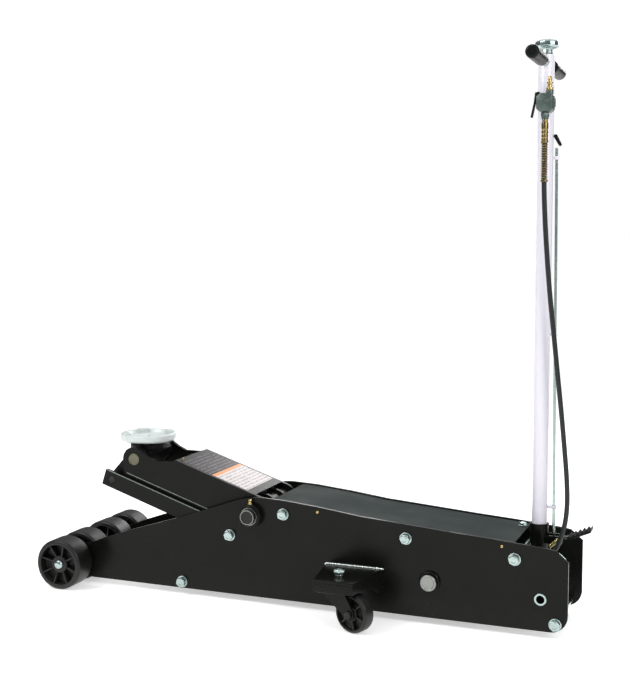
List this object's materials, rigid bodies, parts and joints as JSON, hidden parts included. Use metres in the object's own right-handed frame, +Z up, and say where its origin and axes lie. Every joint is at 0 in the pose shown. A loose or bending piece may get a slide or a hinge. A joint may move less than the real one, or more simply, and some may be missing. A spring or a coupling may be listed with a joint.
{
  "type": "service jack",
  "caption": "Long-chassis air and hydraulic floor jack with lift arm, swivel saddle, front wheels, rear casters and an upright air-valve handle.",
  "frame": {"origin": "centre of the bounding box's underside, on the floor between the wheels and casters", "axes": "+X from the saddle end to the handle end, +Y to the right hand of someone pushing it saddle first, +Z up"},
  "size_m": [1.5862, 0.574, 1.541],
  "materials": {
    "black_paint": "satin-gloss black enamel on steel plate",
    "cover_paint": "dark green-grey textured paint",
    "cast_black": "black painted casting",
    "tread": "black moulded wheel",
    "grip_rubber": "smooth black rubber grip",
    "hose_rubber": "satin rubber air hose",
    "zinc": "bright zinc plate",
    "steel": "turned or ground bare steel",
    "brass": "turned brass",
    "white_paint": "gloss white enamel",
    "saddle_silver": "pale silver-white paint on a casting",
    "cast_grey": "grey-green die casting",
    "spring_yellow": "yellow zinc plated wire"
  },
  "bodies": {
    "chassis": {"side_plate_left": "black_paint", "side_plate_right": "black_paint", "top_cover": "cover_paint", "tie_bar_1": "zinc", "tie_bar_2": "zinc", "tie_bar_3": "zinc", "tie_bar_4": "zinc", "tie_bar_5": "zinc", "front_axle": "zinc", "pivot_shaft": "steel", "link_pivot_bolt_left": "zinc", "link_pivot_bolt_right": "zinc", "handle_pivot_tube": "zinc", "caster_bracket_left": "black_paint", "caster_bracket_right": "black_paint", "hydraulic_block": "cast_black", "cylinder_barrel": "cast_black", "cylinder_gland": "steel", "cylinder_pin": "steel", "pump_body": "steel", "air_motor": "cast_grey", "return_spring_left": "steel", "return_spring_right": "steel"},
    "lift_arm": {"lift_arm": "black_paint", "head_pin": "steel", "lever_pin": "steel"},
    "lift_head": {"lift_head": "cast_black", "link_front_pin": "steel"},
    "saddle": {"saddle": "saddle_silver"},
    "links": {"link_bar_left": "black_paint", "link_bar_right": "black_paint"},
    "ram": {"ram": "steel"},
    "handle": {"handle_socket": "black_paint", "handle_tube": "white_paint", "handle_crossbar": "zinc", "grip_left": "grip_rubber", "grip_right": "grip_rubber", "valve_body": "cast_grey", "air_plug": "brass", "hose_ferrule": "brass", "hose_guard": "brass", "air_hose": "hose_rubber", "latch_spring": "spring_yellow"},
    "release_control": {"release_knob": "zinc", "release_rod": "steel"},
    "air_lever": {"air_lever": "cast_black"},
    "lock_lever": {"lock_lever": "cast_black"},
    "lock_rod": {"lock_rod": "zinc"},
    "latch_pedal": {"latch_pedal": "cast_black"},
    "pump_plunger": {"pump_plunger": "steel"},
    "front_wheel_1": {"front_wheel_1": "tread"},
    "front_wheel_2": {"front_wheel_2": "tread"},
    "front_wheel_3": {"front_wheel_3": "tread"},
    "front_wheel_4": {"front_wheel_4": "tread"},
    "caster_left": {"caster_yoke_left": "black_paint", "caster_axle_left": "zinc"},
    "caster_wheel_left": {"caster_wheel_left": "tread"},
    "caster_right": {"caster_yoke_right": "black_paint", "caster_axle_right": "zinc"},
    "caster_wheel_right": {"caster_wheel_right": "tread"}
  },
  "joints": [
    {"name": "front_wheel_1_roll", "type": "hinge", "parent": "chassis", "child": "front_wheel_1", "pos_m": [-0.71893, -0.182, 0.07414], "axis": [0, 1, 0], "continuous": true},
    {"name": "front_wheel_2_roll", "type": "hinge", "parent": "chassis", "child": "front_wheel_2", "pos_m": [-0.71893, -0.07, 0.07414], "axis": [0, 1, 0], "continuous": true},
    {"name": "front_wheel_3_roll", "type": "hinge", "parent": "chassis", "child": "front_wheel_3", "pos_m": [-0.71893, 0.07, 0.07414], "axis": [0, 1, 0], "continuous": true},
    {"name": "front_wheel_4_roll", "type": "hinge", "parent": "chassis", "child": "front_wheel_4", "pos_m": [-0.71893, 0.182, 0.07414], "axis": [0, 1, 0], "continuous": true},
    {"name": "caster_left_swivel", "type": "hinge", "parent": "chassis", "child": "caster_left", "pos_m": [0.17007, -0.232, 0.12], "axis": [0, 0, 1], "continuous": true},
    {"name": "caster_wheel_left_roll", "type": "hinge", "parent": "caster_left", "child": "caster_wheel_left", "pos_m": [0.21938, -0.2485, 0.05167], "axis": [0.3173, 0.9483, 0], "continuous": true},
    {"name": "caster_right_swivel", "type": "hinge", "parent": "chassis", "child": "caster_right", "pos_m": [0.17007, 0.232, 0.12], "axis": [0, 0, 1], "continuous": true},
    {"name": "caster_wheel_right_roll", "type": "hinge", "parent": "caster_right", "child": "caster_wheel_right", "pos_m": [0.21938, 0.2485, 0.05167], "axis": [-0.3173, 0.9483, 0], "continuous": true},
    {"name": "lift", "type": "hinge", "parent": "chassis", "child": "lift_arm", "pos_m": [-0.13293, 0, 0.254], "axis": [0, 1, 0], "range_deg": [-40, 19]},
    {"name": "head_level", "type": "hinge", "parent": "lift_arm", "child": "lift_head", "pos_m": [-0.52667, 0, 0.38193], "axis": [0, 1, 0], "range_deg": [-19, 40]},
    {"name": "saddle_turn", "type": "hinge", "parent": "lift_head", "child": "saddle", "pos_m": [-0.53393, 0, 0.42], "axis": [0, 0, 1], "continuous": true},
    {"name": "link_swing", "type": "hinge", "parent": "chassis", "child": "links", "pos_m": [-0.20093, 0, 0.191], "axis": [0, 1, 0], "range_deg": [-40, 19]},
    {"name": "ram_slide", "type": "slide", "parent": "chassis", "child": "ram", "axis": [-1, 0, 0], "range_m": [-0.0921, 0.0438], "deforming": ["return_spring_left", "return_spring_right"]},
    {"name": "handle_tilt", "type": "hinge", "parent": "chassis", "child": "handle", "pos_m": [0.68307, 0, 0.104], "axis": [0, 1, 0], "range_deg": [0, 65], "deforming": ["air_hose"]},
    {"name": "plunger_slide", "type": "slide", "parent": "chassis", "child": "pump_plunger", "axis": [-1, 0, 0], "range_m": [0, 0.0387]},
    {"name": "release_turn", "type": "hinge", "parent": "handle", "child": "release_control", "pos_m": [0.65507, 0, 1.52], "axis": [0, 0, 1], "range_deg": [0, 360]},
    {"name": "air_lever_press", "type": "hinge", "parent": "handle", "child": "air_lever", "pos_m": [0.64307, -0.045, 1.398], "axis": [0, -1, 0], "range_deg": [0, 8], "stiffness_Nm_per_rad": 1, "springref_deg": -17.19},
    {"name": "latch_pedal_press", "type": "hinge", "parent": "handle", "child": "latch_pedal", "pos_m": [0.70907, 0, 0.236], "axis": [0, 1, 0], "range_deg": [0, 15], "stiffness_Nm_per_rad": 3, "springref_deg": -17.19, "deforming": ["latch_spring"]},
    {"name": "lock_rod_lift", "type": "slide", "parent": "handle", "child": "lock_rod", "axis": [-0.0088, 0, 1], "range_m": [0, 0.0043]},
    {"name": "lock_lever_swing", "type": "hinge", "parent": "handle", "child": "lock_lever", "pos_m": [0.68107, 0, 1.296], "axis": [0, -1, 0], "range_deg": [0, 20.1]}
  ],
  "couplings": [
    {"joint": "head_level", "follows": "lift", "ratio": -1},
    {"joint": "link_swing", "follows": "lift", "ratio": 1},
    {"joint": "ram_slide", "follows": "lift", "m_per_rad": 0.13179},
    {"joint": "plunger_slide", "follows": "handle_tilt", "m_per_rad": 0.034},
    {"joint": "lock_rod_lift", "follows": "latch_pedal_press", "m_per_rad": 0.016},
    {"joint": "lock_lever_swing", "follows": "latch_pedal_press", "ratio": 1.3333}
  ]
}
